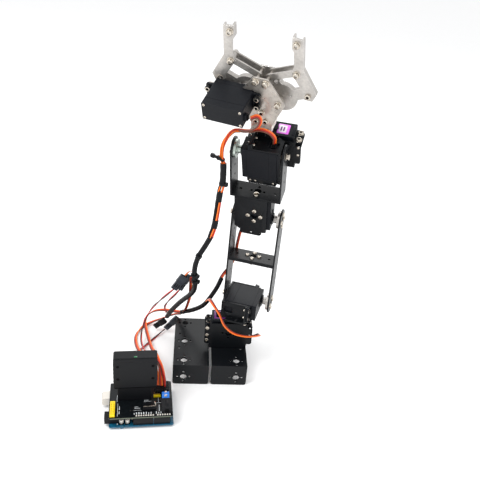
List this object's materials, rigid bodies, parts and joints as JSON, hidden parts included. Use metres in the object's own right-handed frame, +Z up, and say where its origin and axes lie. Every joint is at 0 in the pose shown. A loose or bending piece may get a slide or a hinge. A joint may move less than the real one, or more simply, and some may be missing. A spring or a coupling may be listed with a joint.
{
  "type": "desktop robot arm",
  "caption": "Jointed servo arm of black bent brackets on two channels, with a geared two-finger gripper, wiring harness and stacked controller boards.",
  "frame": {"origin": "on the table, under the middle of the box around the arm and its controller, cords left out", "axes": "+Z up, +X to the right and -Y towards the side with the controller; the base channels lie along Y, and the shoulder axis is turned 18.5 degrees from X about Z at rest"},
  "size_m": [0.2026, 0.1891, 0.4076],
  "materials": {
    "black_bracket": "black anodised, satin",
    "servo_black": "fine moulded grain",
    "bare_aluminium": "clear anodised, matt",
    "steel": "nickel plated",
    "board_blue": "solder mask over glass fibre",
    "shield_black": "solder mask over glass fibre",
    "moulded_black": "moulded",
    "header_yellow": "moulded",
    "terminal_blue": "moulded",
    "lead_orange": "three flat flexible wires",
    "sleeve_black": "spiral wrap and tape"
  },
  "bodies": {
    "base": {"base_channel_left": "black_bracket", "base_channel_right": "black_bracket", "box_bracket_1": "black_bracket", "servo_1": "servo_black", "main_board": "board_blue", "driver_shield": "shield_black", "usb_socket": "steel", "dc_socket": "moulded_black", "signal_header": "header_yellow", "servo_plug_block": "moulded_black", "screw_terminal": "terminal_blue", "power_socket": "moulded_black", "receiver": "moulded_black", "joined_plugs_low": "moulded_black", "joined_plugs_rear": "moulded_black", "harness_waist": "sleeve_black", "branch_waist": "sleeve_black", "lead_waist": "lead_orange", "lead_plug_first": "lead_orange", "lead_plug_second": "lead_orange", "lead_plug_third": "sleeve_black", "lead_power": "sleeve_black"},
    "waist": {"horn_1": "bare_aluminium", "box_bracket_2": "black_bracket", "servo_2": "servo_black", "pivot_screw_2": "steel", "joined_plugs_left": "moulded_black", "joined_plugs_right": "moulded_black", "harness_shoulder": "sleeve_black", "lead_shoulder": "lead_orange"},
    "middle_link": {"horn_2": "bare_aluminium", "lower_long_bracket": "black_bracket", "upper_long_bracket": "black_bracket", "horn_3": "bare_aluminium", "harness_elbow": "sleeve_black", "lead_elbow": "lead_orange"},
    "forearm": {"box_bracket_3": "black_bracket", "servo_3": "servo_black", "pivot_screw_3": "steel", "forearm_bracket": "black_bracket", "horn_4": "bare_aluminium", "harness_wrist": "sleeve_black"},
    "wrist": {"box_bracket_4": "black_bracket", "servo_4": "servo_black", "pivot_screw_4": "steel", "box_bracket_5": "black_bracket", "servo_5": "servo_black", "lead_wrist": "lead_orange", "lead_gripper": "lead_orange"},
    "gripper": {"horn_5": "bare_aluminium", "gripper_front_plate": "bare_aluminium", "gripper_back_plate": "bare_aluminium", "servo_6": "servo_black"},
    "gear_left": {"gear_arm_left": "bare_aluminium", "horn_6": "bare_aluminium"},
    "gear_right": {"gear_arm_right": "bare_aluminium"},
    "link_left": {"link_left": "bare_aluminium"},
    "link_right": {"link_right": "bare_aluminium"},
    "finger_left": {"finger_left": "bare_aluminium"},
    "finger_right": {"finger_right": "bare_aluminium"}
  },
  "joints": [
    {"name": "base_yaw", "type": "hinge", "parent": "base", "child": "waist", "pos_m": [0.04924, 0.0303, 0.0593], "axis": [0, 0, 1], "range_deg": [-90, 90], "deforming": ["harness_waist", "branch_waist", "lead_waist", "lead_plug_third"]},
    {"name": "shoulder_pitch", "type": "hinge", "parent": "waist", "child": "middle_link", "pos_m": [0.06076, 0.03715, 0.09095], "axis": [0.9483, -0.3173, 0], "range_deg": [-80, 60], "deforming": ["harness_shoulder", "lead_shoulder"]},
    {"name": "elbow_pitch", "type": "hinge", "parent": "middle_link", "child": "forearm", "pos_m": [0.06893, 0.04107, 0.19706], "axis": [0.9483, -0.3173, 0], "range_deg": [-90, 65], "deforming": ["harness_elbow", "lead_elbow"]},
    {"name": "wrist_pitch", "type": "hinge", "parent": "forearm", "child": "wrist", "pos_m": [0.04797, 0.02351, 0.27995], "axis": [0.9483, -0.3173, 0], "range_deg": [-8, 70], "deforming": ["harness_wrist"]},
    {"name": "wrist_roll", "type": "hinge", "parent": "wrist", "child": "gripper", "pos_m": [0.06229, 0.04141, 0.29357], "axis": [-0.1381, -0.4127, 0.9003], "range_deg": [-90, 90], "deforming": ["lead_gripper", "lead_wrist"]},
    {"name": "gripper_drive", "type": "hinge", "parent": "gripper", "child": "gear_left", "pos_m": [0.0379, 0.01987, 0.34449], "axis": [0.3784, 0.8181, 0.4331], "range_deg": [-15, 50]},
    {"name": "gripper_gear_right", "type": "hinge", "parent": "gripper", "child": "gear_right", "pos_m": [0.06865, 0.00641, 0.34304], "axis": [0.3784, 0.8181, 0.4331], "range_deg": [-50, 15]},
    {"name": "gripper_link_left", "type": "hinge", "parent": "gripper", "child": "link_left", "pos_m": [0.04573, 0.00627, 0.36334], "axis": [0.3784, 0.8181, 0.4331], "range_deg": [-15, 50]},
    {"name": "gripper_link_right", "type": "hinge", "parent": "gripper", "child": "link_right", "pos_m": [0.05488, 0.00226, 0.3629], "axis": [0.3784, 0.8181, 0.4331], "range_deg": [-50, 15]},
    {"name": "finger_left_pivot", "type": "hinge", "parent": "gear_left", "child": "finger_left", "pos_m": [0.01219, 0.02582, 0.35572], "axis": [0.3784, 0.8181, 0.4331], "range_deg": [-50, 15]},
    {"name": "finger_right_pivot", "type": "hinge", "parent": "gear_right", "child": "finger_right", "pos_m": [0.09127, -0.00878, 0.35198], "axis": [0.3784, 0.8181, 0.4331], "range_deg": [-15, 50]}
  ],
  "couplings": [
    {"joint": "gripper_gear_right", "follows": "gripper_drive", "ratio": -1},
    {"joint": "gripper_link_left", "follows": "gripper_drive", "ratio": 1},
    {"joint": "gripper_link_right", "follows": "gripper_drive", "ratio": -1},
    {"joint": "finger_left_pivot", "follows": "gripper_drive", "ratio": -1},
    {"joint": "finger_right_pivot", "follows": "gripper_drive", "ratio": 1}
  ]
}
